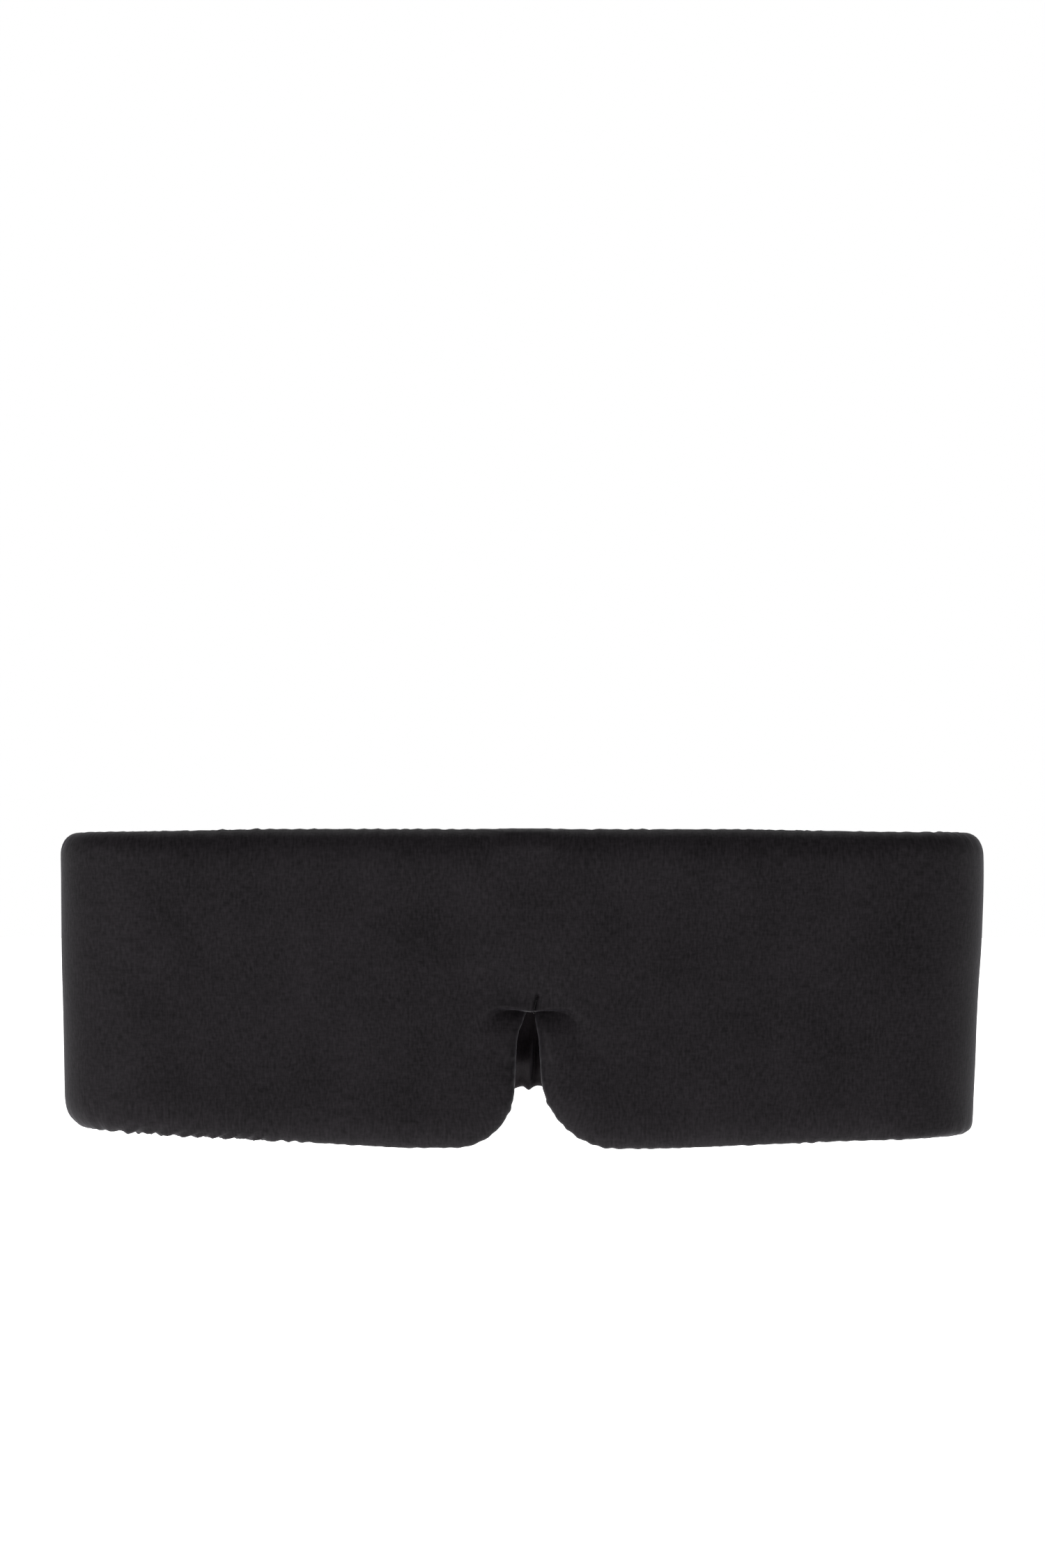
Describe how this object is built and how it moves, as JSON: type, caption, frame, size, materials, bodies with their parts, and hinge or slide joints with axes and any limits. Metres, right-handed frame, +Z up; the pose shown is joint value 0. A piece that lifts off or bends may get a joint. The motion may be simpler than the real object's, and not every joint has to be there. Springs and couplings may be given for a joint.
{
  "type": "sleep mask",
  "caption": "Padded wrap-round eye patch for sleeping: a wide front with a nose notch, folding side wings, and a gathered elastic strap with a hook tab.",
  "frame": {"origin": "middle of the space the wearer's head goes through, at the mask's mid-height, with the mask lying as a flattened loop", "axes": "+Z up as worn, -Y forward from the wearer's face, +X along the mask's width, towards the end that carries the loop tape"},
  "size_m": [0.25, 0.0627, 0.087],
  "materials": {
    "silk": "washed matt silk with a faint upright slub grain and a soft sheen at grazing angles",
    "gathered_silk": "the same silk, gathered into fine upright ruffles over the elastic",
    "silk_lining": "smooth charmeuse silk against the skin",
    "wadding": "lofty white polyester fibre",
    "blackout_cloth": "dense matt woven blackout cloth",
    "thread": "spun polyester sewing thread with a slight lustre",
    "elastic": "knitted black elastic webbing",
    "stiffener_sheet": "thin flexible plastic sheet",
    "hook_nylon": "moulded black nylon hooks on a woven base",
    "loop_nylon": "brushed black nylon loop pile",
    "label_satin": "blank folded satin ribbon"
  },
  "bodies": {
    "front": {"front_outer_cover": "silk", "front_wadding": "wadding", "front_blackout_layer": "blackout_cloth", "front_lining": "silk_lining", "notch_tack": "thread"},
    "strap_wing": {"strap_wing_outer_cover": "silk", "strap_wing_wadding": "wadding", "strap_wing_blackout_layer": "blackout_cloth", "strap_wing_lining": "silk_lining", "strap_root_hem": "silk", "strap_root_stitches": "thread"},
    "loop_wing": {"loop_wing_outer_cover": "silk", "loop_wing_wadding": "wadding", "loop_wing_blackout_layer": "blackout_cloth", "loop_wing_lining": "silk_lining", "loop_tape": "loop_nylon", "loop_tape_stitches": "thread", "care_label": "label_satin"},
    "strap": {"strap_casing": "gathered_silk", "elastic_band": "elastic"},
    "strap_end": {"strap_end_hem": "silk", "strap_end_stitches": "thread"},
    "hook_tab": {"tab_cover": "silk", "tab_stiffener": "stiffener_sheet", "hook_tape": "hook_nylon", "hook_tape_stitches": "thread"}
  },
  "joints": [
    {"name": "strap_wing_open", "type": "hinge", "parent": "front", "child": "strap_wing", "pos_m": [-0.125, 0, 0], "axis": [0, 0, 1], "range_deg": [0, 100]},
    {"name": "loop_wing_open", "type": "hinge", "parent": "front", "child": "loop_wing", "pos_m": [0.125, 0, 0], "axis": [0, 0, 1], "range_deg": [-100, 0]},
    {"name": "strap_swing", "type": "hinge", "parent": "strap_wing", "child": "strap", "pos_m": [-0.05, 0.031, 0], "axis": [0, 0, 1], "range_deg": [0, 135]},
    {"name": "strap_stretch", "type": "slide", "parent": "strap", "child": "strap_end", "axis": [1, 0, 0], "range_m": [0, 0.02], "deforming": ["strap_casing", "elastic_band"]},
    {"name": "tab_peel", "type": "hinge", "parent": "strap_end", "child": "hook_tab", "pos_m": [0.05, 0.031, 0], "axis": [0, 0, 1], "range_deg": [0, 90]}
  ],
  "couplings": [
    {"joint": "loop_wing_open", "follows": "strap_wing_open", "ratio": -1}
  ]
}
